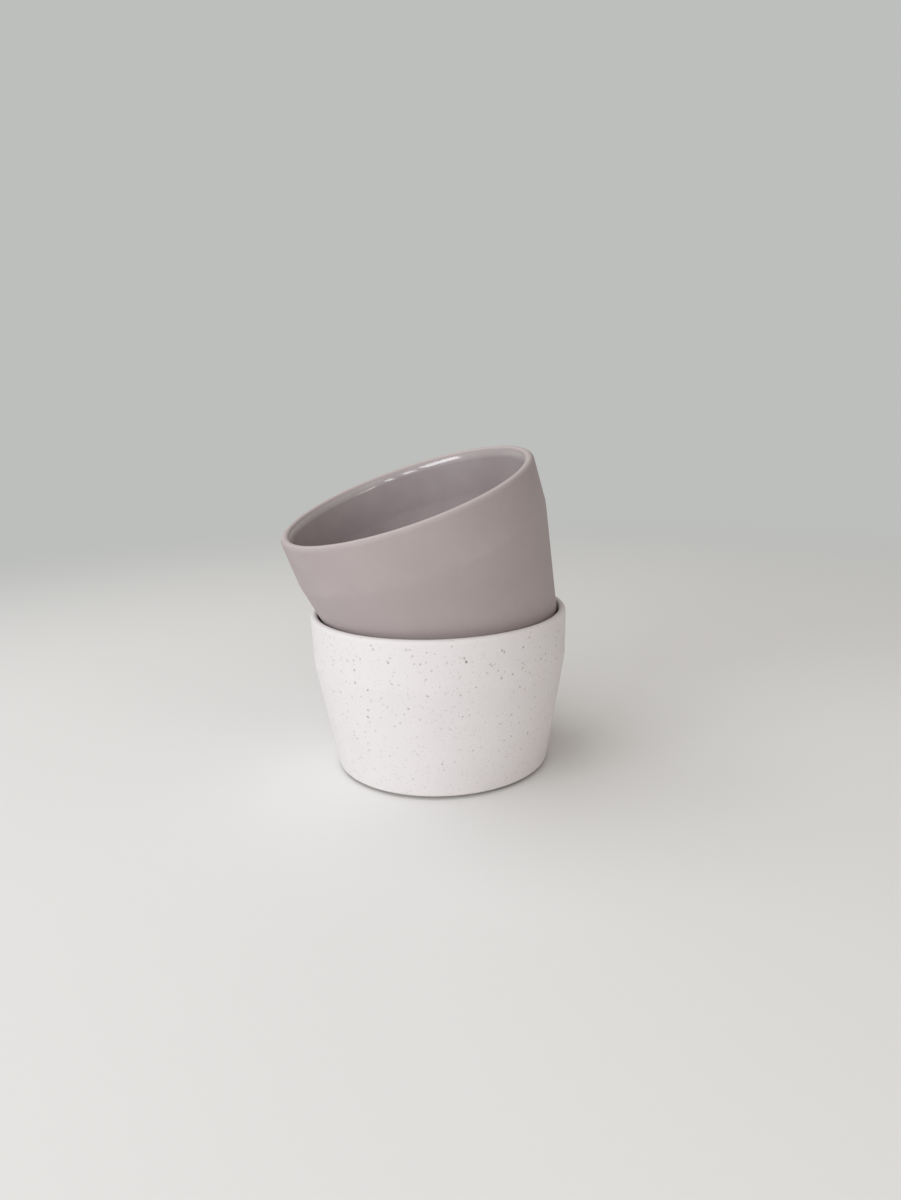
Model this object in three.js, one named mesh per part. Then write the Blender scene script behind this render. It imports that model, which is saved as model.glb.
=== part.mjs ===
// Two small stoneware bowls from one mould: a speckled white one that stands on the table, and a mauve-grey
// one that leans in its mouth. Each bowl is a bare clay shell with a gloss glaze lining its inside.
// Millimetres, +Z up. The origin is on the lower bowl's axis, in the plane that its foot ring stands on.

import * as THREE from "three";

// Driving dimensions of the mould
const RIM_RADIUS = 48; // outside of the lip
const HEIGHT = 60; // foot ring to the crest of the lip
const SHOULDER_RADIUS = 47.6; // outside, where the taper turns into the upright band
const SHOULDER_HEIGHT = 42;
const SHOULDER_BEND = 16; // radius of that soft turn
const BASE_RADIUS = 40.3; // where the line of the taper meets the table
const BASE_FILLET = 1.2;
const WALL = 3; // thickness at the lip and the shoulder
const LIP_ROUND = 1.35; // radius of each side of the lip
const FLOOR = 4.2; // table to the top of the clay inside
const FLOOR_BEND = 11; // radius between the floor and the wall inside

// Foot ring under the base
const FOOT_INSET = 2; // from the end of the base fillet in to the ring
const FOOT_WIDTH = 4;
const FOOT_LIFT = 0.9; // height of the ring's outer step
const FOOT_RECESS = 0.9; // depth of the hollow inside the ring

// Glaze lining
const GLAZE = 0.4;
const GLAZE_LINE = 1.6; // from the crest of the lip down to the edge of the glaze
const GLAZE_TAPER = 1.5; // height over which that edge thins out to nothing

// How the upper bowl leans
const LEAN = 18; // degrees from upright
const LEAN_HEADING = 205; // degrees about +Z, from +X, of the side that leans down
const SEAT_GAP = 0.3; // clearance where the bowls bear on each other

// Facets
const SEGMENTS = 64; // around each bowl
const ARC_STEP = 24; // most degrees of turn between two points of an arc
const SEAT_STEP = 0.6; // spacing of the points that are tested for bearing
const SEAT_TOLERANCE = 0.01; // how closely the leaning bowl's offset is found

// Finishes: matt clay outside, gloss glaze inside
const CLAY_ROUGHNESS = 0.75;
const GLAZE_ROUGHNESS = 0.12;
const SPECKLED_WHITE = { body: 0xe4e1de, glaze: 0xe9e7e3 };
const MAUVE_GREY = { body: 0xa59a98, glaze: 0x9a8f90 };

// Outline through a list of corners [radius, height, rounding]. A rounded corner becomes an arc that is
// tangent to both of its sides, no larger than the shorter side can hold.
function outline(corners) {
  const at = corners.map(([r, z]) => new THREE.Vector2(r, z));
  const points = [at[0]];
  for (let i = 1; i < at.length - 1; i++) {
    const back = at[i - 1].clone().sub(at[i]);
    const ahead = at[i + 1].clone().sub(at[i]);
    const halfAngle = back.angleTo(ahead) / 2;
    const mostReach = Math.min(back.length(), ahead.length()) / 2;
    const radius = Math.min(corners[i][2] ?? 0, mostReach * Math.tan(halfAngle));
    if (radius === 0) {
      points.push(at[i]);
      continue;
    }
    const reach = radius / Math.tan(halfAngle);
    const middle = back.clone().normalize().add(ahead.clone().normalize()).normalize();
    const centre = at[i].clone().addScaledVector(middle, radius / Math.sin(halfAngle));
    const from = at[i].clone().addScaledVector(back.normalize(), reach).sub(centre).angle();
    const to = at[i].clone().addScaledVector(ahead.normalize(), reach).sub(centre).angle();
    const clockwise = back.cross(ahead) > 0;
    const arc = new THREE.EllipseCurve(centre.x, centre.y, radius, radius, from, to, clockwise);
    const turn = 180 - THREE.MathUtils.radToDeg(2 * halfAngle);
    points.push(...arc.getPoints(Math.max(2, Math.ceil(turn / ARC_STEP))));
  }
  points.push(at[at.length - 1]);
  return points;
}

// Radius of the outside's taper at a height, as a straight line from the table to the shoulder.
function taperAt(z) {
  return BASE_RADIUS + ((SHOULDER_RADIUS - BASE_RADIUS) * z) / SHOULDER_HEIGHT;
}

// Radius of the upright band at a height, as a straight line from the shoulder to the lip.
function bandAt(z) {
  const rise = (z - SHOULDER_HEIGHT) / (HEIGHT - SHOULDER_HEIGHT);
  return SHOULDER_RADIUS + (RIM_RADIUS - SHOULDER_RADIUS) * rise;
}

// Outside of the clay, from the middle of the underside to the edge of the glaze inside the lip.
function outsideOutline() {
  const footOuter = taperAt(FOOT_LIFT) - BASE_FILLET - FOOT_INSET;
  const footInner = footOuter - FOOT_WIDTH;
  return outline([
    [0, FOOT_RECESS],
    [footInner, FOOT_RECESS],
    [footInner, 0],
    [footOuter, 0],
    [footOuter, FOOT_LIFT],
    [taperAt(FOOT_LIFT), FOOT_LIFT, BASE_FILLET],
    [SHOULDER_RADIUS, SHOULDER_HEIGHT, SHOULDER_BEND],
    [RIM_RADIUS, HEIGHT, LIP_ROUND],
    [RIM_RADIUS - WALL, HEIGHT, LIP_ROUND],
    [bandAt(HEIGHT - GLAZE_LINE) - WALL, HEIGHT - GLAZE_LINE],
  ]);
}

// Inside of the clay, from the edge of the glaze down to the middle of the floor.
function insideOutline() {
  return outline([
    [bandAt(HEIGHT - GLAZE_LINE) - WALL, HEIGHT - GLAZE_LINE],
    [SHOULDER_RADIUS - WALL, SHOULDER_HEIGHT, SHOULDER_BEND],
    [taperAt(FLOOR) - WALL, FLOOR, FLOOR_BEND],
    [0, FLOOR],
  ]);
}

// Wet side of the glaze, from its edge down to the middle of the floor.
function glazeOutline() {
  const full = HEIGHT - GLAZE_LINE - GLAZE_TAPER;
  const floor = FLOOR + GLAZE;
  return outline([
    [bandAt(HEIGHT - GLAZE_LINE) - WALL, HEIGHT - GLAZE_LINE],
    [bandAt(full) - WALL - GLAZE, full],
    [SHOULDER_RADIUS - WALL - GLAZE, SHOULDER_HEIGHT, SHOULDER_BEND],
    [taperAt(floor) - WALL - GLAZE, floor, FLOOR_BEND],
    [0, floor],
  ]);
}

// Drops a leaning bowl into an upright one. Returns how far its base stands off the lower bowl's axis, away
// from the side that leans down, and how high. At the lowest height both sides bear, each with the seat gap.
function seat(lean) {
  // The lower bowl's mouth and inside as a height for each radius, lip crest first.
  const lip = outsideOutline().filter((p) => p.x > RIM_RADIUS - WALL && p.y > HEIGHT - GLAZE_LINE);
  const cavity = [...lip, ...glazeOutline()];
  const heightAt = (radius) => {
    const i = cavity.findIndex((p) => p.x <= radius);
    if (i === 0) return -Infinity;
    const [a, b] = [cavity[i - 1], cavity[i]];
    return b.y + ((a.y - b.y) * (radius - b.x)) / (a.x - b.x);
  };

  // Points all over the upper bowl's outside, grown by the seat gap and leant over.
  const bearing = [];
  const outside = outsideOutline();
  for (let i = 1; i < outside.length; i++) {
    const side = outside[i].clone().sub(outside[i - 1]);
    const normal = new THREE.Vector2(side.y, -side.x).normalize();
    const steps = Math.ceil(side.length() / SEAT_STEP);
    for (let k = 0; k <= steps; k++) {
      const p = outside[i - 1].clone().addScaledVector(side, k / steps).addScaledVector(normal, SEAT_GAP);
      for (let n = 0; n < SEGMENTS; n++) {
        const around = (n / SEGMENTS) * 2 * Math.PI;
        const flat = new THREE.Vector3(p.x * Math.cos(around), p.x * Math.sin(around), p.y);
        bearing.push(flat.applyAxisAngle(new THREE.Vector3(0, 1, 0), lean));
      }
    }
  }
  const heightFor = (offset) =>
    bearing.reduce((top, p) => Math.max(top, heightAt(Math.hypot(p.x - offset, p.y)) - p.z), -Infinity);

  // The height falls and then rises with the offset, so thirds of the range close in on the lowest one.
  let [near, far] = [0, WALL + RIM_RADIUS - BASE_RADIUS];
  while (far - near > SEAT_TOLERANCE) {
    const third = (far - near) / 3;
    if (heightFor(near + third) < heightFor(far - third)) far -= third;
    else near += third;
  }
  return { offset: near, height: heightFor(near) };
}

function turned(name, profile, color, roughness) {
  const geometry = new THREE.LatheGeometry(profile, SEGMENTS).rotateX(Math.PI / 2);
  const mesh = new THREE.Mesh(geometry, new THREE.MeshStandardMaterial({ color, roughness, metalness: 0 }));
  mesh.name = name;
  return mesh;
}

// One bowl standing on its foot ring: the clay, and the glaze on the clay's own inside surface.
function bowl(name, colours) {
  const inside = insideOutline();
  const clay = [...outsideOutline(), ...inside.slice(1)];
  const glaze = [...inside.toReversed(), ...glazeOutline().slice(1)];
  const group = new THREE.Group();
  group.add(turned(name + "_body", clay, colours.body, CLAY_ROUGHNESS));
  group.add(turned(name + "_glaze", glaze, colours.glaze, GLAZE_ROUGHNESS));
  return group;
}

const lower = bowl("lower_bowl", SPECKLED_WHITE);

const upper = bowl("upper_bowl", MAUVE_GREY);
const lean = THREE.MathUtils.degToRad(LEAN);
const rest = seat(lean);
upper.position.set(-rest.offset, 0, rest.height);
upper.rotation.y = lean;
const leanPlane = new THREE.Group();
leanPlane.rotation.z = THREE.MathUtils.degToRad(LEAN_HEADING);
leanPlane.add(upper);

const pair = new THREE.Group();
pair.add(lower, leanPlane);

export default pair;
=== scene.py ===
# %% [markdown]
# Two stoneware bowls from one mould. A speckled white one stands on the table, and a mauve-grey one leans
# in its mouth. This lesson starts from the imported model, which gives the true size and place of every
# piece, and makes the fine surface of each: the rounded lip, the rolled edge of the glaze, the specks in
# the clay.
#
# The frame is loaded first.

# %% The imported frame
import math
from functools import partial

import bpy
import numpy as np
from mathutils import Matrix, Vector


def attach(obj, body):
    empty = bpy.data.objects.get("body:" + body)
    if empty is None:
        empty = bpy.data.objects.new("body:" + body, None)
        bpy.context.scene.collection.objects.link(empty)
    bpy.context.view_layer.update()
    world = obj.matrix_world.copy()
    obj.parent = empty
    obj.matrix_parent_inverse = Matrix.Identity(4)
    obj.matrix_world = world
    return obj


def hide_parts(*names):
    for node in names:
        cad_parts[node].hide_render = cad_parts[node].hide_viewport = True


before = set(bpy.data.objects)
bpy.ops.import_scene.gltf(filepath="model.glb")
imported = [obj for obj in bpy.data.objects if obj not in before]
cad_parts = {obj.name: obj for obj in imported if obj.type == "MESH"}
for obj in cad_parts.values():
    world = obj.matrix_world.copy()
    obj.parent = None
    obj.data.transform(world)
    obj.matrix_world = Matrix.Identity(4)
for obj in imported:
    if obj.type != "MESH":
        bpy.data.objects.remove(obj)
scene = bpy.context.scene
scene.view_settings.view_transform = "Standard"

MM = 0.001
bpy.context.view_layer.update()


def in_mm(values, digits=1):
    """Metres as rounded millimetres, for printing."""
    return [round(float(v) / MM, digits) for v in np.ravel(values)]


# %% [markdown]
# The camera stands where the photograph was taken: about 14 cm above the table and a third of a metre from
# the bowls, so the view is a wide one with strong perspective. It could be aimed by eye. Here it is set
# from five measures of the photograph, which fix it exactly: the focal length in pixels, the distance, how
# far the view looks down, how far the picture is tipped, and the pixel where the middle of the lower base
# lies.

# %% The camera
PHOTO_WIDTH, PHOTO_HEIGHT = 901, 1200
FOCAL_PIXELS = 850
SENSOR = 36.0  # in millimetres, as Blender counts lenses
BASE_PIXEL = (443.2, 752.9)
BASE_DEPTH = 336.4 * MM
LOOK_DOWN = math.radians(13.34)
PICTURE_TIP = math.radians(1.77)
NEAREST = 10 * MM


def photograph_camera():
    level_right = Vector((1, 0, 0))
    forward = Vector((0, math.cos(LOOK_DOWN), -math.sin(LOOK_DOWN)))
    level_up = level_right.cross(forward)
    right = level_right * math.cos(PICTURE_TIP) - level_up * math.sin(PICTURE_TIP)
    up = level_right * math.sin(PICTURE_TIP) + level_up * math.cos(PICTURE_TIP)
    aside = (BASE_PIXEL[0] - PHOTO_WIDTH / 2) / FOCAL_PIXELS * BASE_DEPTH
    above = (PHOTO_HEIGHT / 2 - BASE_PIXEL[1]) / FOCAL_PIXELS * BASE_DEPTH
    place = -(right * aside + up * above + forward * BASE_DEPTH)
    lens = bpy.data.cameras.new("photograph_camera")
    lens.sensor_width = SENSOR
    lens.lens = SENSOR * FOCAL_PIXELS / max(PHOTO_WIDTH, PHOTO_HEIGHT)
    lens.clip_start = NEAREST
    camera = bpy.data.objects.new("photograph_camera", lens)
    camera.matrix_world = Matrix.Translation(place) @ Matrix((right, up, -forward)).transposed().to_4x4()
    scene.collection.objects.link(camera)
    scene.camera = camera
    return camera


camera = photograph_camera()
print("camera at", in_mm(camera.location), "mm, lens", round(camera.data.lens, 1), "mm")

# %% [markdown]
# Both the shapes and the finishes below are node trees. Placing nodes one by one makes long, dull code,
# so one small class wraps an output socket, and sums on it add Math nodes. Any other node comes from its
# method called node, which takes the node's type, its settings, and the values or links of its sockets.

# %% Sums and nodes


def socket_named(sockets, key):
    """A socket by its number, its identifier or its name."""
    if isinstance(key, int):
        return sockets[key]
    return next(s for s in sockets if key == s.identifier or (key == s.name and s.enabled))


class Wire:
    """An output socket that sums can be made of."""

    def __init__(self, socket):
        self.socket = socket
        self.tree = socket.id_data

    @staticmethod
    def node(tree, kind, settings, inputs, out=0):
        """Adds a node to a tree, and returns the output that is asked for."""
        made = tree.nodes.new(kind)
        for key, value in settings.items():
            setattr(made, key, value)
        for key, value in inputs.items():
            socket = socket_named(made.inputs, key)
            if isinstance(value, Wire):
                tree.links.new(value.socket, socket)
            elif socket.type == "RGBA" and len(value) == 3:
                socket.default_value = (*value, 1)
            else:
                socket.default_value = value
        return Wire(socket_named(made.outputs, out)) if made.outputs else made

    def other(self, name):
        """Another output of the same node."""
        return Wire(socket_named(self.socket.node.outputs, name))

    def math(self, operation, *terms):
        return Wire.node(self.tree, "ShaderNodeMath", {"operation": operation}, dict(enumerate(terms)))

    def __add__(self, term):
        return self.math("ADD", self, term)

    def __sub__(self, term):
        return self.math("SUBTRACT", self, term)

    def __rsub__(self, term):
        return self.math("SUBTRACT", term, self)

    def __mul__(self, term):
        return self.math("MULTIPLY", self, term)

    __radd__ = __add__
    __rmul__ = __mul__


# %% [markdown]
# Four small helpers are used all through. One empties the tree that Blender starts a material with, one
# takes a vector apart, one finds a value between two others, and one makes a smooth ramp, from which most
# masks below are made.

# %% Helpers for trees


def emptied(owner):
    """The node tree of a material or a world, without the nodes that Blender puts there."""
    owner.use_nodes = True
    owner.node_tree.nodes.clear()
    return owner.node_tree


def parts(vector):
    """The X, Y and Z of a vector."""
    first = Wire.node(vector.tree, "ShaderNodeSeparateXYZ", {}, {0: vector}, "X")
    return first, first.other("Y"), first.other("Z")


def between(low, high, share):
    """The value that lies that share of the way from low to high."""
    return low + (high - low) * share


def ramp(value, low, high):
    """0 below low, 1 above high, and a smooth rise between; high may be the lower of the two."""
    limits = {"Value": value, "From Min": low, "From Max": high}
    return Wire.node(value.tree, "ShaderNodeMapRange", {"interpolation_type": "SMOOTHSTEP"}, limits)


# %% [markdown]
# The lower bowl stands on the table with its axis upright. The upper one leans, and its lean is read from
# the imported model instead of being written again: on a round piece, the surface spreads alike in two
# directions and unlike in the third, and that third direction is its axis.

# %% Where each bowl stands


def axis_and_middle(node):
    """Axis and area centre of a round piece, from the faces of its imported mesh."""
    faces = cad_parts[node].data.polygons
    area = np.zeros(len(faces))
    faces.foreach_get("area", area)
    centre = np.zeros(3 * len(faces))
    faces.foreach_get("center", centre)
    centre = centre.reshape(-1, 3)
    middle = np.average(centre, axis=0, weights=area)
    spread, directions = np.linalg.eigh(np.cov(centre.T, aweights=area))
    odd_one = 0 if spread[1] - spread[0] > spread[2] - spread[1] else 2
    axis = Vector(directions[:, odd_one])
    return (axis if axis.z > 0 else -axis), Vector(middle)


UP = Vector((0, 0, 1))
upright_axis, upright_middle = axis_and_middle("lower_bowl_body")
leaning_axis, leaning_middle = axis_and_middle("upper_bowl_body")
leaning_base = leaning_middle - leaning_axis * upright_middle.z
lean = math.degrees(leaning_axis.angle(UP))
print("the upper bowl leans", round(lean, 2), "degrees, its base at", in_mm(leaning_base, 2), "mm")

# %% [markdown]
# A bowl like this is turned or cast round one outline. The outside tapers out from a foot ring, turns
# softly into an upright band, and closes in a lip. The outline could be a Bezier curve drawn by hand. It
# is kept as corners with a rounding each, because that is how such a shape is drawn, and every size stays
# a plain number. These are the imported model's sizes, with a small round on the edges of the foot ring. A
# few stations on the long stretches let the surface wander a little later.

# %% The outline of the mould
RIM_RADIUS = 48 * MM
HEIGHT = 60 * MM
SHOULDER_RADIUS = 47.6 * MM
SHOULDER_HEIGHT = 42 * MM
SHOULDER_BEND = 16 * MM
BASE_RADIUS = 40.3 * MM
BASE_FILLET = 1.2 * MM
FLOOR = 4.2 * MM
FLOOR_BEND = 11 * MM
FLOOR_RINGS = [8 * MM, 16 * MM, 24 * MM]
FOOT_INSET = 2 * MM
FOOT_WIDTH = 4 * MM
FOOT_LIFT = 0.9 * MM
FOOT_ROUND = 0.3 * MM
GLAZE = 0.4 * MM
TAPER_STATIONS = (15 * MM, 39 * MM, 6)  # from, to, how many
BAND_STATIONS = (44 * MM, 51 * MM, 3)


def taper_at(z):
    """Radius of the outside below the shoulder."""
    return BASE_RADIUS + (SHOULDER_RADIUS - BASE_RADIUS) * z / SHOULDER_HEIGHT


def band_at(z):
    """Radius of the outside above the shoulder."""
    rise = (z - SHOULDER_HEIGHT) / (HEIGHT - SHOULDER_HEIGHT)
    return between(SHOULDER_RADIUS, RIM_RADIUS, rise)


def stations(radius_at, low, high, count, inset=0.0):
    """Corners with no rounding, evenly along a straight stretch of the outline."""
    heights = [low + (high - low) * (k + 0.5) / count for k in range(count)]
    return [(radius_at(z) - inset, z, 0) for z in heights]


print("outside radii in mm", in_mm([taper_at(0), SHOULDER_RADIUS, RIM_RADIUS]))

# %% [markdown]
# The lip is rounded small on the outside and runs long on the inside, where the glaze softens it. A bevel
# would give one round edge. Here the inside is a row of arcs from the crest to the wall, tight first and
# then wide. Each ends where the surface has a given tilt, so the gloss can be steered: a bright stroke
# shows where the tilt is right for it. The run of the lip also sets how thick the wall is, a little more
# on the upper bowl, whose lip is fuller.

# %% The lip
LEVEL = math.pi / 2
BAND_TILT = math.atan2(RIM_RADIUS - SHOULDER_RADIUS, HEIGHT - SHOULDER_HEIGHT)
GLAZE_EDGE = math.radians(32)
# Rounding of the outside, then the radius of each arc inside and the tilt where it ends
LOWER_LIP = (1.5 * MM, [(1.2 * MM, math.radians(25)), (8 * MM, BAND_TILT)])
UPPER_LIP = (1.8 * MM, [(1.4 * MM, math.radians(40)), (5.5 * MM, math.radians(6)), (4 * MM, BAND_TILT)])


def lip_point(lip, tilt):
    """The point inside the lip where the surface looks up by that tilt."""
    inward, arcs = lip
    down, high = 0, LEVEL
    for radius, until in arcs:
        low = min(high, max(tilt, until))
        inward += radius * (math.cos(low) - math.cos(high))
        down += radius * (math.sin(high) - math.sin(low))
        high = low
    return RIM_RADIUS - inward, HEIGHT - down, 0


def lip_curve(lip, start, end, count):
    return [lip_point(lip, tilt) for tilt in np.linspace(start, end, count)]


def wall_inset(lip):
    """How far the wet side of the glaze lies in from the outside, where the lip's run ends."""
    radius, height, _ = lip_point(lip, BAND_TILT)
    return band_at(height) - radius


print("walls in mm", in_mm([wall_inset(lip) for lip in (LOWER_LIP, UPPER_LIP)], 2))

# %% [markdown]
# Each bowl is two pieces, the clay and the glaze that lines it. The clay's outline starts in the middle
# of the underside, goes round the foot ring, up the outside, over the lip and down the inside. The glaze
# could be only a shinier paint on that inside. It is a thin skin of its own instead, up the clay and down
# its wet side, because the real coat has a thickness and an edge.

# %% The clay and its lining
CREST_POINTS = 6
RUN_POINTS = 28


def inside_corners(inset, floor):
    """The inside from below the glaze's edge down to the middle of the floor."""
    return [
        *reversed(stations(band_at, *BAND_STATIONS, inset)),
        (SHOULDER_RADIUS - inset, SHOULDER_HEIGHT, SHOULDER_BEND),
        *reversed(stations(taper_at, *TAPER_STATIONS, inset)),
        (taper_at(floor) - inset, floor, FLOOR_BEND),
        *[(r, floor, 0) for r in reversed(FLOOR_RINGS)],
        (0, floor, 0),
    ]


def shell_corners(lip):
    """The clay: underside, foot ring, outside, lip, and inside down to the floor."""
    foot_outer = taper_at(FOOT_LIFT) - BASE_FILLET - FOOT_INSET
    foot_inner = foot_outer - FOOT_WIDTH
    return [
        (0, FOOT_LIFT, 0),
        *[(r, FOOT_LIFT, 0) for r in FLOOR_RINGS],
        (foot_inner, FOOT_LIFT, FOOT_ROUND),
        (foot_inner, 0, FOOT_ROUND),
        (foot_outer, 0, FOOT_ROUND),
        (foot_outer, FOOT_LIFT, FOOT_ROUND),
        (taper_at(FOOT_LIFT), FOOT_LIFT, BASE_FILLET),
        *stations(taper_at, *TAPER_STATIONS),
        (SHOULDER_RADIUS, SHOULDER_HEIGHT, SHOULDER_BEND),
        *stations(band_at, *BAND_STATIONS),
        (RIM_RADIUS, HEIGHT, lip[0]),
        *lip_curve(lip, LEVEL, GLAZE_EDGE, CREST_POINTS),
        *inside_corners(wall_inset(lip) - GLAZE, FLOOR),
    ]


def lining_corners(lip):
    """The glaze: up the clay's inside to its edge on the lip, and down its own wet side."""
    return [
        *reversed(inside_corners(wall_inset(lip) - GLAZE, FLOOR)),
        *lip_curve(lip, GLAZE_EDGE, BAND_TILT, RUN_POINTS),
        *inside_corners(wall_inset(lip), FLOOR + GLAZE),
    ]


print("corners:", len(shell_corners(UPPER_LIP)), "for clay,", len(lining_corners(UPPER_LIP)), "for glaze")

# %% [markdown]
# The outline becomes a bowl by going once round the axis. Spin or a Screw modifier would do that, but a
# node tree keeps every size open as a named input, and one tree serves all the pieces. Its inputs come
# first.

# %% Inputs of the turning tree
TREE_INPUTS = {
    "Geometry": "NodeSocketGeometry",
    "Steps around": "NodeSocketInt",
    "Steps in an arc": "NodeSocketInt",
    "Wander": "NodeSocketFloat",
    "Wander length": "NodeSocketFloat",
    "Seed": "NodeSocketFloat",
    "Axis": "NodeSocketVector",
    "Base": "NodeSocketVector",
    "Finish": "NodeSocketMaterial",
}

tree = bpy.data.node_groups.new("turned_piece", "GeometryNodeTree")
for name, kind in TREE_INPUTS.items():
    tree.interface.new_socket(name, in_out="INPUT", socket_type=kind)
tree.interface.new_socket("Geometry", in_out="OUTPUT", socket_type="NodeSocketGeometry")
shape_node = partial(Wire.node, tree)
given = shape_node("NodeGroupInput", {}, {}, "Geometry")
where = shape_node("GeometryNodeInputPosition", {}, {})
print("the turning tree takes", ", ".join(TREE_INPUTS))

# %% [markdown]
# The first nodes read the corners as a curve and round them. A Bevel modifier would do if one radius
# suited them all. Fillet Curve takes a radius for each corner, from the attribute called rounding.

# %% Rounding the corners


def rounded_outline():
    numbers = {"data_type": "FLOAT"}
    rounding = shape_node("GeometryNodeInputNamedAttribute", numbers, {"Name": "rounding"}, "Attribute")
    corners = shape_node("GeometryNodeMeshToCurve", {}, {"Mesh": given})
    steps = given.other("Steps in an arc")
    arcs = {"Curve": corners, "Count": steps, "Radius": rounding, "Limit Radius": True}
    return shape_node("GeometryNodeFilletCurve", {"mode": "POLY"}, arcs)


outline = rounded_outline()
print("the tree rounds corners, with", len(tree.nodes), "nodes so far")

# %% [markdown]
# Then a flat grid is laid, with one column for each point of the outline and one row for each step
# around, and every point of it is moved to its place on the bowl. Points that meet, where the turn closes
# and on the axis, are merged, so the skin has no opening. Each point keeps its height above the foot, for
# the finishes.

# %% Going round the axis
WELD = 1e-6


def swept_round(outline):
    curve = {"component": "CURVE"}
    count = shape_node("GeometryNodeAttributeDomainSize", curve, {"Geometry": outline}, "Point Count")
    rows = given.other("Steps around") + 1
    cells = {"Size X": 1, "Size Y": 1, "Vertices X": count, "Vertices Y": rows}
    grid = shape_node("GeometryNodeMeshGrid", {}, cells, "Mesh")

    # The grid is 1 across and centred, so a half is added; the second half rounds to the nearest point
    along, around, level = parts(where)
    index = (along + 0.5) * (count - 1) + 0.5
    vectors = {"data_type": "FLOAT_VECTOR", "domain": "POINT"}
    looked_up = {"Geometry": outline, "Value": where, "Index": index}
    radius, _, height = parts(shape_node("GeometryNodeSampleIndex", vectors, looked_up))
    turn = (around + 0.5) * (2 * math.pi)
    x = radius * turn.math("COSINE", turn)
    y = radius * turn.math("SINE", turn)
    swept = shape_node("ShaderNodeCombineXYZ", {}, {"X": x, "Y": y, "Z": height})
    bent = shape_node("GeometryNodeSetPosition", {}, {"Geometry": grid, "Position": swept})
    closed = shape_node("GeometryNodeMergeByDistance", {}, {"Geometry": bent, "Distance": WELD})
    outward = shape_node("GeometryNodeFlipFaces", {}, {"Mesh": closed})
    numbers = {"data_type": "FLOAT", "domain": "POINT"}
    marks = {"Geometry": outward, "Name": "height", "Value": level}
    return shape_node("GeometryNodeStoreNamedAttribute", numbers, marks)


true_bowl = swept_round(outline)
print("the tree goes round the axis, with", len(tree.nodes), "nodes so far")

# %% [markdown]
# Fired clay is never quite true, so the whole surface wanders by a tenth of a millimetre or so. A
# Displace modifier could do that. In the tree the noise is read while the bowl still stands upright at
# the origin, and the clay and the lining of one bowl share a seed, so both move alike and stay in touch.

# %% The wander of the surface
WANDER_DETAIL = 1.0


def wandered(bowl):
    scale = given.math("DIVIDE", 1, given.other("Wander length"))
    field = {"Vector": where, "W": given.other("Seed"), "Scale": scale, "Detail": WANDER_DETAIL}
    noise = shape_node("ShaderNodeTexNoise", {"noise_dimensions": "4D"}, field, "Color")

    # The noise runs from 0 to 1, so it is centred and doubled
    around_zero = {0: noise, 1: (0.5, 0.5, 0.5)}
    centred = shape_node("ShaderNodeVectorMath", {"operation": "SUBTRACT"}, around_zero)
    amount = given.other("Wander") * 2
    shift = shape_node("ShaderNodeVectorMath", {"operation": "SCALE"}, {0: centred, "Scale": amount})
    return shape_node("GeometryNodeSetPosition", {}, {"Geometry": bowl, "Offset": shift})


worn_bowl = wandered(true_bowl)
print("the tree lets the surface wander, with", len(tree.nodes), "nodes so far")

# %% [markdown]
# The last nodes shade the faces smooth, except across a sharp edge, then lean the bowl, move it to its
# base and give it its finish. The place could be the object's own. It goes into the mesh, as in the
# imported model, so that the patterns of the finish stay where they are if the piece is exported.

# %% Shading, place and finish
SHARP = math.radians(40)


def finished(bowl):
    angle = shape_node("GeometryNodeInputMeshEdgeAngle", {}, {}, "Unsigned Angle")
    soft = angle.math("LESS_THAN", angle, SHARP)
    all_faces = {"Geometry": bowl, "Shade Smooth": True}
    faces = shape_node("GeometryNodeSetShadeSmooth", {"domain": "FACE"}, all_faces)
    soft_edges = {"Geometry": faces, "Shade Smooth": soft}
    edges = shape_node("GeometryNodeSetShadeSmooth", {"domain": "EDGE"}, soft_edges)
    turned = shape_node("FunctionNodeAlignRotationToVector", {"axis": "Z"}, {"Vector": given.other("Axis")})
    place = {"Geometry": edges, "Translation": given.other("Base"), "Rotation": turned}
    placed = shape_node("GeometryNodeTransform", {}, place)
    real = shape_node("GeometryNodeRealizeInstances", {}, {"Geometry": placed})
    finish = {"Geometry": real, "Material": given.other("Finish")}
    return shape_node("GeometryNodeSetMaterial", {}, finish)


shape_node("NodeGroupOutput", {}, {"Geometry": finished(worn_bowl)})
print("the turning tree is done, with", len(tree.nodes), "nodes")

# %% [markdown]
# One function turns a list of corners into a finished piece. It draws the corners as a chain of edges,
# runs the tree on it, and keeps the result as a plain mesh whose place is in its vertices.

# %% Turning a piece
STEPS_AROUND = 224
STEPS_IN_ARC = 9
WANDER = 0.12 * MM
WANDER_LENGTH = 45 * MM


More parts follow.
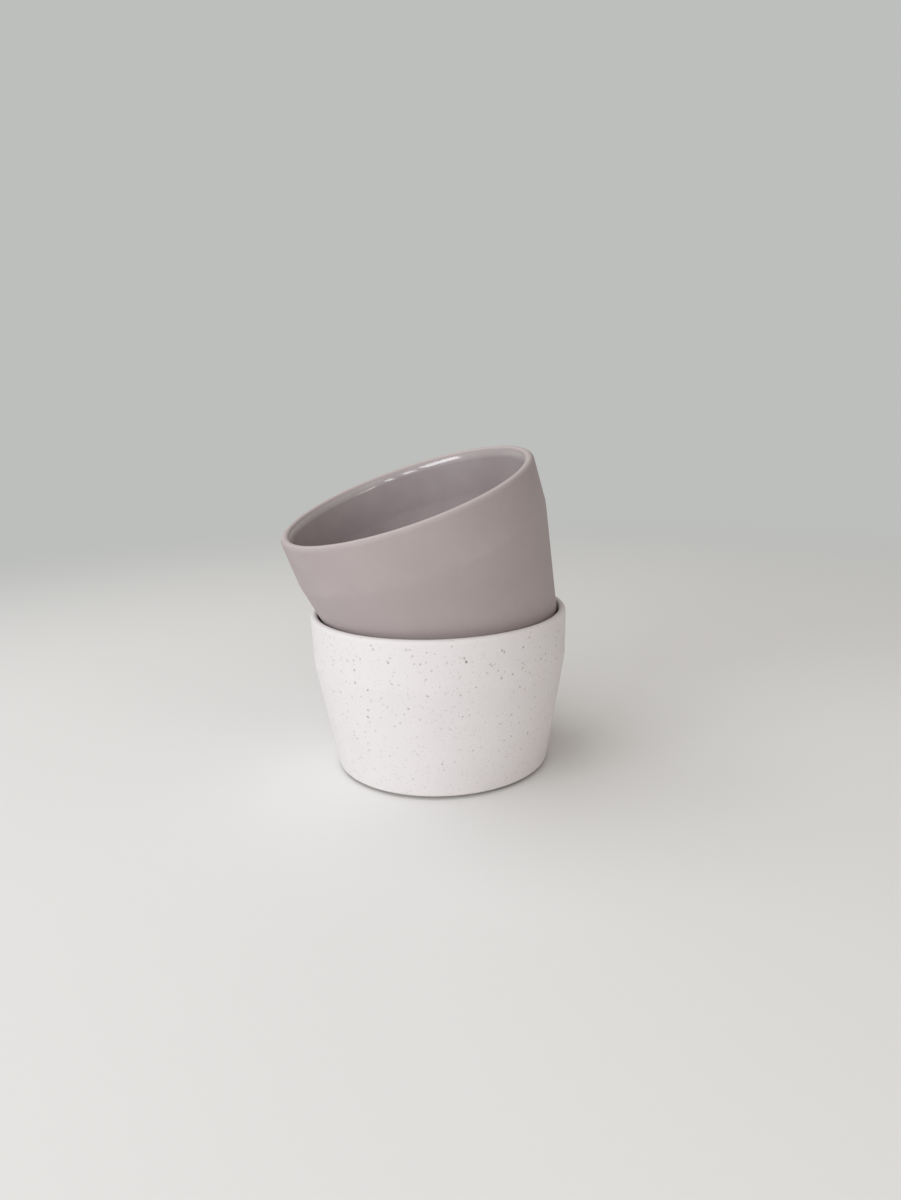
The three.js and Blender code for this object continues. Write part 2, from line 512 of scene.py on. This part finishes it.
def turned_piece(name, corners, axis, base, finish, seed):
    points = [(r, 0, z) for r, z, _ in corners]
    links = [(i, i + 1) for i in range(len(corners) - 1)]
    chain = bpy.data.meshes.new(name + "_outline")
    chain.from_pydata(points, links, [])
    rounding = chain.attributes.new("rounding", "FLOAT", "POINT")
    rounding.data.foreach_set("value", [corner[2] for corner in corners])
    blank = bpy.data.objects.new(name + "_outline", chain)
    scene.collection.objects.link(blank)
    turning = blank.modifiers.new("turning", "NODES")
    turning.node_group = tree
    sizes = {
        "Steps around": STEPS_AROUND,
        "Steps in an arc": STEPS_IN_ARC,
        "Wander": WANDER,
        "Wander length": WANDER_LENGTH,
        "Seed": seed,
        "Axis": axis,
        "Base": base,
        "Finish": finish,
    }
    for socket in tree.interface.items_tree:
        if socket.in_out == "INPUT" and socket.name in sizes:
            turning[socket.identifier] = sizes[socket.name]
    graph = bpy.context.evaluated_depsgraph_get()
    mesh = bpy.data.meshes.new_from_object(blank.evaluated_get(graph))
    mesh.name = name
    bpy.data.objects.remove(blank)
    piece = bpy.data.objects.new(name, mesh)
    scene.collection.objects.link(piece)
    print(name, "has", len(mesh.polygons), "faces")
    return piece


# %% [markdown]
# The finishes share a few patterns. Clouds are a slow noise, for the unevenness that any wash or glaze
# has. Colours are laid over each other as a potter lays coats, each through a mask. Relief is a fine
# noise that only bends the light, because grains and ripples this shallow would need millions of faces as
# a shape.

# %% Patterns in the clay


class Clay:
    """A clay or glaze, with its coordinates at hand in metres and its height above the bowl's own foot."""

    def __init__(self, name):
        self.material = bpy.data.materials.new(name)
        self.node = partial(Wire.node, emptied(self.material))
        self.where = self.node("ShaderNodeTexCoord", {}, {}, "Object")
        self.height = self.node("ShaderNodeAttribute", {"attribute_name": "height"}, {}, "Fac")

    def noise(self, size, detail=2.0):
        """Patches of about that size, around a half."""
        field = {"Vector": self.where, "Scale": 1 / size, "Detail": detail}
        return self.node("ShaderNodeTexNoise", {}, field, "Fac")

    def clouds(self, size, detail, low, high):
        """Mask of soft patches, empty where the noise is under low and full where it is over high."""
        return ramp(self.noise(size, detail), low, high)

    def coats(self, colour, layers):
        """A colour with others laid over it in turn, each as its mask, its strength and its colour."""
        for mask, strength, over in layers:
            coat = {"Factor": mask * strength, "A_Color": colour, "B_Color": over}
            colour = self.node("ShaderNodeMix", {"data_type": "RGBA"}, coat, "Result_Color")
        return colour

    def relief(self, layers):
        """Bumps, each from the size, the detail and the depth of a noise."""
        return [(self.noise(size, detail), depth) for size, detail, depth in layers]

    def fired(self, colour, roughness, bumps, **constants):
        """The finished material. Bumps are a height and a depth in metres each."""
        normal = {}
        for height, depth in bumps:
            relief = {"Height": height, "Distance": depth, "Strength": 1.0, **normal}
            normal = {"Normal": self.node("ShaderNodeBump", {}, relief)}
        surface = {"Base Color": colour, "Roughness": roughness, **normal, **constants}
        shader = self.node("ShaderNodeBsdfPrincipled", {}, surface)
        self.node("ShaderNodeOutputMaterial", {}, {"Surface": shader})
        print(self.material.name, "has", len(self.material.node_tree.nodes), "nodes")
        return self.material


# %% [markdown]
# Specks are iron grains in the clay. They could be dots placed by hand. A Voronoi pattern holds one grain
# to a cell, of which only a share show, and the size and depth of each follow the cell's own random
# colour. Some grains are dark, more lie a little deeper and look grey, and a fine dust is fainter still.

# %% Iron specks
IRON = (0.10, 0.08, 0.075)
SMALLEST_GRAIN = 0.35  # as a share of the widest
FAINTEST_GRAIN = 0.5  # as a share of the darkest
RAGGED = 0.6  # how far a grain's edge strays, as a share of its width
RAGS = 2  # how often it strays in that width
# Spacing, width of the widest grain, share of cells that show one, share of its radius that is full
DARK_GRAINS = (4.2 * MM, 1.35 * MM, 0.42, 0.4)
GREY_GRAINS = (2.2 * MM, 1.5 * MM, 0.75, 0.15)
DUST = (1.0 * MM, 0.7 * MM, 0.85, 0.1)


def specks(clay, spacing, widest, share, core):
    """Mask of the grains of one kind."""
    field = {"Vector": clay.where, "Scale": RAGS / widest}
    ragged = clay.node("ShaderNodeTexNoise", {}, field, "Color")
    reach = {0: ragged, "Scale": widest * RAGGED}
    stray = clay.node("ShaderNodeVectorMath", {"operation": "SCALE"}, reach)
    grained = clay.node("ShaderNodeVectorMath", {"operation": "ADD"}, {0: clay.where, 1: stray})
    cells = {"Vector": grained, "Scale": 1 / spacing}
    distance = clay.node("ShaderNodeTexVoronoi", {}, cells, "Distance")
    chance, size, depth = parts(distance.other("Color"))
    radius = between(SMALLEST_GRAIN, 1, size) * (widest / 2 / spacing)
    grain = ramp(distance, radius, radius * core)
    shown = chance.math("LESS_THAN", chance, share)
    return grain * shown * between(FAINTEST_GRAIN, 1, depth)


# %% [markdown]
# The white bowl's clay is a pale stoneware with iron specks under a thin matt wash. The wash is cloudy, and
# the band under the lip is painted a touch darker, as painted shade, so that it looks no brighter than the
# taper below. The specks show most in that band and are fainter towards the base. The lip is wiped smooth,
# so it has hardly any, and the foot ring is wiped bare and shows the raw clay. That raw clay is painted
# darker than raw clay is, and reaches just onto the edge of the base, as painted shade for the dark line
# where the bowl meets the table. An image painted over the bowl would do, but these few rules hold at any
# distance.

# %% Speckled white clay
WASH_WHITE = (0.735, 0.703, 0.712)
WASH_SHADE = (0.715, 0.683, 0.692)
# Painted shade: the band under the lip is drawn this much darker than the wash
WASH_BAND_SHADE = (0.72, 0.688, 0.697)
# The raw clay of the bare foot, painted darker than raw clay as shade along the bottom edge of the base
RAW_CLAY_AND_BASE_SHADE = (0.34, 0.28, 0.235)
WASH_CLOUDS = (14 * MM, 3.0, 0.35, 0.75)  # size, detail, empty under, full over
# Heights of the band that is painted darker as shade, on both bowls
SHADED_BAND = (43 * MM, 50 * MM)
SPECK_RISE = (15 * MM, 48 * MM)
LOW_SPECKS = 0.55  # strength of the specks below that rise
LIP_BAND = (HEIGHT - 2.2 * MM, HEIGHT - 0.8 * MM)
# The bare foot, reaching just onto the edge of the base, where its dark colour is painted shade
BARE_FOOT_AND_BASE_SHADE = (FOOT_LIFT + 0.35 * MM, FOOT_LIFT + 0.1 * MM)
MATT_PATCHES = 3 * MM
WASH_ROUGHNESS = (0.56, 0.72)
RAW_OVER_WASH = 0.2  # how much rougher the raw clay is
MATT_RELIEF = [(9 * MM, 2.0, 0.03 * MM), (0.5 * MM, 3.0, 0.02 * MM)]  # size, detail, depth
SPECK_PIT = 0.03 * MM


def speckled_clay():
    clay = Clay("speckled_white_clay")
    shown = between(LOW_SPECKS, 1, ramp(clay.height, *SPECK_RISE))
    dark = specks(clay, *DARK_GRAINS)
    bare_and_base_shade = ramp(clay.height, *BARE_FOOT_AND_BASE_SHADE)
    coats = [  # mask, strength, colour
        (clay.clouds(*WASH_CLOUDS), 1.0, WASH_SHADE),
        # painted shade: the band under the lip drawn darker
        (ramp(clay.height, *SHADED_BAND), 1.0, WASH_BAND_SHADE),
        (specks(clay, *DUST), 0.5, IRON),
        (specks(clay, *GREY_GRAINS) * shown, 0.62, IRON),
        (dark * shown, 1.0, IRON),
        (ramp(clay.height, *LIP_BAND), 0.8, WASH_WHITE),
        # raw clay on the foot, dark enough to paint shade along the bottom edge
        (bare_and_base_shade, 1.0, RAW_CLAY_AND_BASE_SHADE),
    ]
    roughness = between(*WASH_ROUGHNESS, clay.noise(MATT_PATCHES)) + RAW_OVER_WASH * bare_and_base_shade
    bumps = [*clay.relief(MATT_RELIEF), (1 - dark, SPECK_PIT)]
    return clay.fired(clay.coats(WASH_WHITE, coats), roughness, bumps)


white_clay = speckled_clay()

# %% [markdown]
# Inside, the white bowl has a clear gloss over the same clay, so the specks show there too, a little
# softer. The gloss could be a coat over the clay's own finish. Here the glaze is a piece of its own, so
# it is one smooth surface that reflects a little more than plain glass.

# %% White lining
LINING_WHITE = (0.74, 0.71, 0.70)
LINING_CLOUDS = (20 * MM, 2.0, 0.4, 0.8)
WHITE_PATCHES = 5 * MM
GLOSS_ROUGHNESS = (0.07, 0.12)
GLOSS_RELIEF = [(9 * MM, 2.0, 0.1 * MM), (1.6 * MM, 2.0, 0.004 * MM)]
GLASS = {"IOR": 1.58, "Specular IOR Level": 0.62}


def white_lining():
    glaze = Clay("white_gloss_lining")
    coats = [  # mask, strength, colour
        (glaze.clouds(*LINING_CLOUDS), 1.0, WASH_SHADE),
        (specks(glaze, *GREY_GRAINS), 0.45, IRON),
        (specks(glaze, *DARK_GRAINS), 0.7, IRON),
    ]
    roughness = between(*GLOSS_ROUGHNESS, glaze.noise(WHITE_PATCHES))
    return glaze.fired(glaze.coats(LINING_WHITE, coats), roughness, glaze.relief(GLOSS_RELIEF), **GLASS)


white_glaze = white_lining()

# %% [markdown]
# The upper bowl's outside is a matt mauve-grey slip, cloudy in broad soft patches and finely mottled. It
# is thinnest and lightest on the crest of the lip. The band under the lip and the taper below the shoulder
# are drawn a shade darker, as painted shade, which leaves it lighter round the shoulder. One flat colour
# would look like plastic, so each of these is a coat of its own, faint by itself.

# %% Mauve-grey clay
SLIP = (0.409, 0.35, 0.352)
# Deeper slip, for the clouds and mottle, and as painted shade on the band and below the shoulder
SLIP_DEEP_AND_SHADE = (0.376, 0.32, 0.322)
SLIP_THIN = (0.52, 0.46, 0.455)
SLIP_CLOUDS = (18 * MM, 3.0, 0.3, 0.75)
SLIP_MOTTLE = (2.2 * MM, 2.0, 0.45, 0.8)
# Painted shade: the slip is drawn darker below the shoulder
SHADE_BELOW_SHOULDER = (SHOULDER_HEIGHT + 0.8 * MM, SHOULDER_HEIGHT - 0.8 * MM)
THIN_EDGE = (HEIGHT - 0.6 * MM, HEIGHT - 0.1 * MM)
SLIP_ROUGHNESS = (0.6, 0.76)
RAW_OVER_SLIP = 0.15


def mauve_clay():
    clay = Clay("mauve_grey_clay")
    bare_and_base_shade = ramp(clay.height, *BARE_FOOT_AND_BASE_SHADE)
    coats = [  # mask, strength, colour
        (clay.clouds(*SLIP_CLOUDS), 1.0, SLIP_DEEP_AND_SHADE),
        (clay.clouds(*SLIP_MOTTLE), 0.35, SLIP_DEEP_AND_SHADE),
        # painted shade in the band under the lip
        (ramp(clay.height, *SHADED_BAND), 0.35, SLIP_DEEP_AND_SHADE),
        # painted shade below the shoulder
        (ramp(clay.height, *SHADE_BELOW_SHOULDER), 0.4, SLIP_DEEP_AND_SHADE),
        (ramp(clay.height, *THIN_EDGE), 0.6, SLIP_THIN),
        # raw clay on the foot, in the colour that is darkened as painted shade
        (bare_and_base_shade, 1.0, RAW_CLAY_AND_BASE_SHADE),
    ]
    roughness = between(*SLIP_ROUGHNESS, clay.noise(MATT_PATCHES)) + RAW_OVER_SLIP * bare_and_base_shade
    return clay.fired(clay.coats(SLIP, coats), roughness, clay.relief(MATT_RELIEF))


mauve_outside = mauve_clay()

# %% [markdown]
# Its lining is the same colour under gloss. Gloss glaze ripples as it melts, which breaks a reflection
# up. It is poured in and runs down before it sets, so it lies thicker and looks deeper low on the wall and
# on the floor. From just under the lip downwards it is also drawn deeper, as painted shade for the wall's
# depth in the bowl. The glaze could be a see-through layer that darkens by its depth. Coats by height give
# the same look and render much faster.

# %% Mauve-grey lining
GLOSS = (0.42, 0.37, 0.383)
# Deeper glaze, for clouds and pooling, and as painted shade lower down the wall
GLOSS_DEEP_AND_SHADE = (0.29, 0.24, 0.245)
GLOSS_CLOUDS = (16 * MM, 3.0, 0.35, 0.75)
CLOUD_DEPTH = 0.35
# Painted shade: the glaze is drawn deeper from just under the lip down the wall
SHADE_DOWN_WALL = (55 * MM, 42 * MM)
WALL_SHADE_DEPTH = 0.27
POOL = (16 * MM, 4 * MM)
MAUVE_PATCHES = 4 * MM


def mauve_lining():
    glaze = Clay("mauve_gloss_lining")
    # clouds, and painted shade lower down the wall
    clouded_and_shaded = CLOUD_DEPTH * glaze.clouds(*GLOSS_CLOUDS) + WALL_SHADE_DEPTH * ramp(glaze.height, *SHADE_DOWN_WALL)
    coats = [  # mask, strength, colour
        (clouded_and_shaded, 1.0, GLOSS_DEEP_AND_SHADE),
        (ramp(glaze.height, *POOL), 0.6, GLOSS_DEEP_AND_SHADE),
    ]
    roughness = between(*GLOSS_ROUGHNESS, glaze.noise(MAUVE_PATCHES))
    return glaze.fired(glaze.coats(GLOSS, coats), roughness, glaze.relief(GLOSS_RELIEF), **GLASS)


mauve_glaze = mauve_lining()

# %% [markdown]
# Now the four pieces are turned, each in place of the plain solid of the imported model. Each rides on the
# body that it belongs to, so the upper bowl's clay and lining lift out together.

# %% The four pieces
ORIGIN = Vector((0, 0, 0))
LOWER_SEED, UPPER_SEED = 3.0, 11.0
BOWLS = {
    # body: its lip, the seed of its wander, its axis, its base
    "lower_bowl": (LOWER_LIP, LOWER_SEED, upright_axis, ORIGIN),
    "upper_bowl": (UPPER_LIP, UPPER_SEED, leaning_axis, leaning_base),
}
PIECES = [
    # piece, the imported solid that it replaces, its body, its slot, its corners, its finish
    ("lower_bowl_shell", "lower_bowl_body", "lower_bowl", "speckled_clay", shell_corners, white_clay),
    ("lower_bowl_lining", "lower_bowl_glaze", "lower_bowl", "white_glaze", lining_corners, white_glaze),
    ("upper_bowl_shell", "upper_bowl_body", "upper_bowl", "mauve_clay", shell_corners, mauve_outside),
    ("upper_bowl_lining", "upper_bowl_glaze", "upper_bowl", "mauve_glaze", lining_corners, mauve_glaze),
]

for name, node, body, slot, corners, finish in PIECES:
    lip, seed, axis, base = BOWLS[body]
    piece = turned_piece(name, corners(lip), axis, base, finish, seed)
    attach(piece, body)
    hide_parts(node)

# %% [markdown]
# The table is a plain pale floor, quite matt, that takes the bowls' soft shadow. It could run on to a sharp
# horizon. Here it fades, far from the bowls, into the colour of the background, so no horizon shows.

# %% The floor
PALE = (0.51, 0.52, 0.51)
FLOOR_WHITE = (0.815, 0.817, 0.817)
FLOOR_SPAN = 4.0
FLOOR_FADE = (0.2, 0.7)
FLOOR_SIDES = 128


def floor_paint():
    paint = bpy.data.materials.new("pale_floor")
    node = partial(Wire.node, emptied(paint))
    place = node("ShaderNodeTexCoord", {}, {}, "Object")
    span = node("ShaderNodeVectorMath", {"operation": "LENGTH"}, {0: place}, "Value")
    matt = {"Base Color": FLOOR_WHITE, "Roughness": 1.0, "Specular IOR Level": 0.0}
    table = node("ShaderNodeBsdfPrincipled", {}, matt)
    beyond = node("ShaderNodeEmission", {}, {"Color": PALE})
    fade = node("ShaderNodeMixShader", {}, {0: ramp(span, *FLOOR_FADE), 1: table, 2: beyond})
    node("ShaderNodeOutputMaterial", {}, {"Surface": fade})
    return paint


def pale_floor():
    mesh = bpy.data.meshes.new("floor")
    ring = [2 * math.pi * k / FLOOR_SIDES for k in range(FLOOR_SIDES)]
    rim = [(FLOOR_SPAN * math.cos(a), FLOOR_SPAN * math.sin(a), 0) for a in ring]
    mesh.from_pydata(rim, [], [range(FLOOR_SIDES)])
    mesh.materials.append(floor_paint())
    floor = bpy.data.objects.new("floor", mesh)
    scene.collection.objects.link(floor)
    print("the floor fades from", FLOOR_FADE[0], "to", FLOOR_FADE[1], "m")


pale_floor()

# %% [markdown]
# The light is that of a room by day. A skylight stands high on the left and a faint patch of sky above
# the camera. Lower down is a row of four window panes behind the camera, the widest to the left, so the
# bowls are brighter on that side, and in the gloss inside the lip each pane shows as a short bright
# stroke. A white card on the right throws a little warm light back. A picture of a room could light the
# bowls too, but each panel here can be moved until its stroke lies where it should.

# %% The window
WINDOW_REACH = 1.2
AIM = Vector((0, 0, HEIGHT))
DAYLIGHT = (0.955, 0.98, 1.0)
ROOM = (1.0, 0.925, 0.84)
PANES = [
    # name, degrees to the right of the camera, degrees up, width, height, radiance, colour
    ("skylight", -100, 64, 1.0, 1.0, 1.9, DAYLIGHT),
    ("front_sky", 0, 42, 1.0, 0.7, 0.12, DAYLIGHT),
    ("wide_pane", -46, 17, 0.83, 0.44, 6.2, DAYLIGHT),
    ("second_pane", -11, 17, 0.23, 0.38, 5.0, DAYLIGHT),
    ("narrow_pane", 10.5, 17, 0.13, 0.33, 6.0, DAYLIGHT),
    ("far_pane", 40, 11.5, 0.48, 0.15, 4.6, ROOM),
    ("white_card", 70, 10, 0.8, 0.4, 0.25, ROOM),
]


def window_pane(name, aside, up, width, height, radiance, colour):
    turn, rise = math.radians(aside), math.radians(up)
    level = math.cos(rise)
    toward = Vector((math.sin(turn) * level, -math.cos(turn) * level, math.sin(rise)))
    lamp = bpy.data.lights.new(name, "AREA")
    lamp.color = colour
    lamp.shape = "RECTANGLE"
    lamp.size, lamp.size_y = width, height
    lamp.energy = radiance * math.pi * width * height
    pane = bpy.data.objects.new(name, lamp)
    pane.location = AIM + toward * WINDOW_REACH
    pane.rotation_euler = (-toward).to_track_quat("-Z", "Y").to_euler()
    pane.visible_camera = False
    scene.collection.objects.link(pane)


for pane in PANES:
    window_pane(*pane)
print(len(PANES), "panels of light")

# %% [markdown]
# An even, slightly warm sky fills the shade, as the walls of a room do. To the camera, and in
# reflections, it is the plain pale background instead, which a Light Path node tells apart by the kind of
# ray.

# %% The sky
SKY = 0.36


def pale_sky():
    world = bpy.data.worlds.new("sky")
    node = partial(Wire.node, emptied(world))
    path = node("ShaderNodeLightPath", {}, {}, "Is Camera Ray")
    seen = path.math("MAXIMUM", path, path.other("Is Glossy Ray"))
    seen = path.math("MAXIMUM", seen, path.other("Is Transmission Ray"))
    lit = node("ShaderNodeBackground", {}, {"Color": ROOM, "Strength": SKY})
    shown = node("ShaderNodeBackground", {}, {"Color": PALE, "Strength": 1.0})
    both = node("ShaderNodeMixShader", {}, {0: seen, 1: lit, 2: shown})
    node("ShaderNodeOutputWorld", {}, {"Surface": both})
    return world


scene.world = pale_sky()
print("sky of strength", SKY)
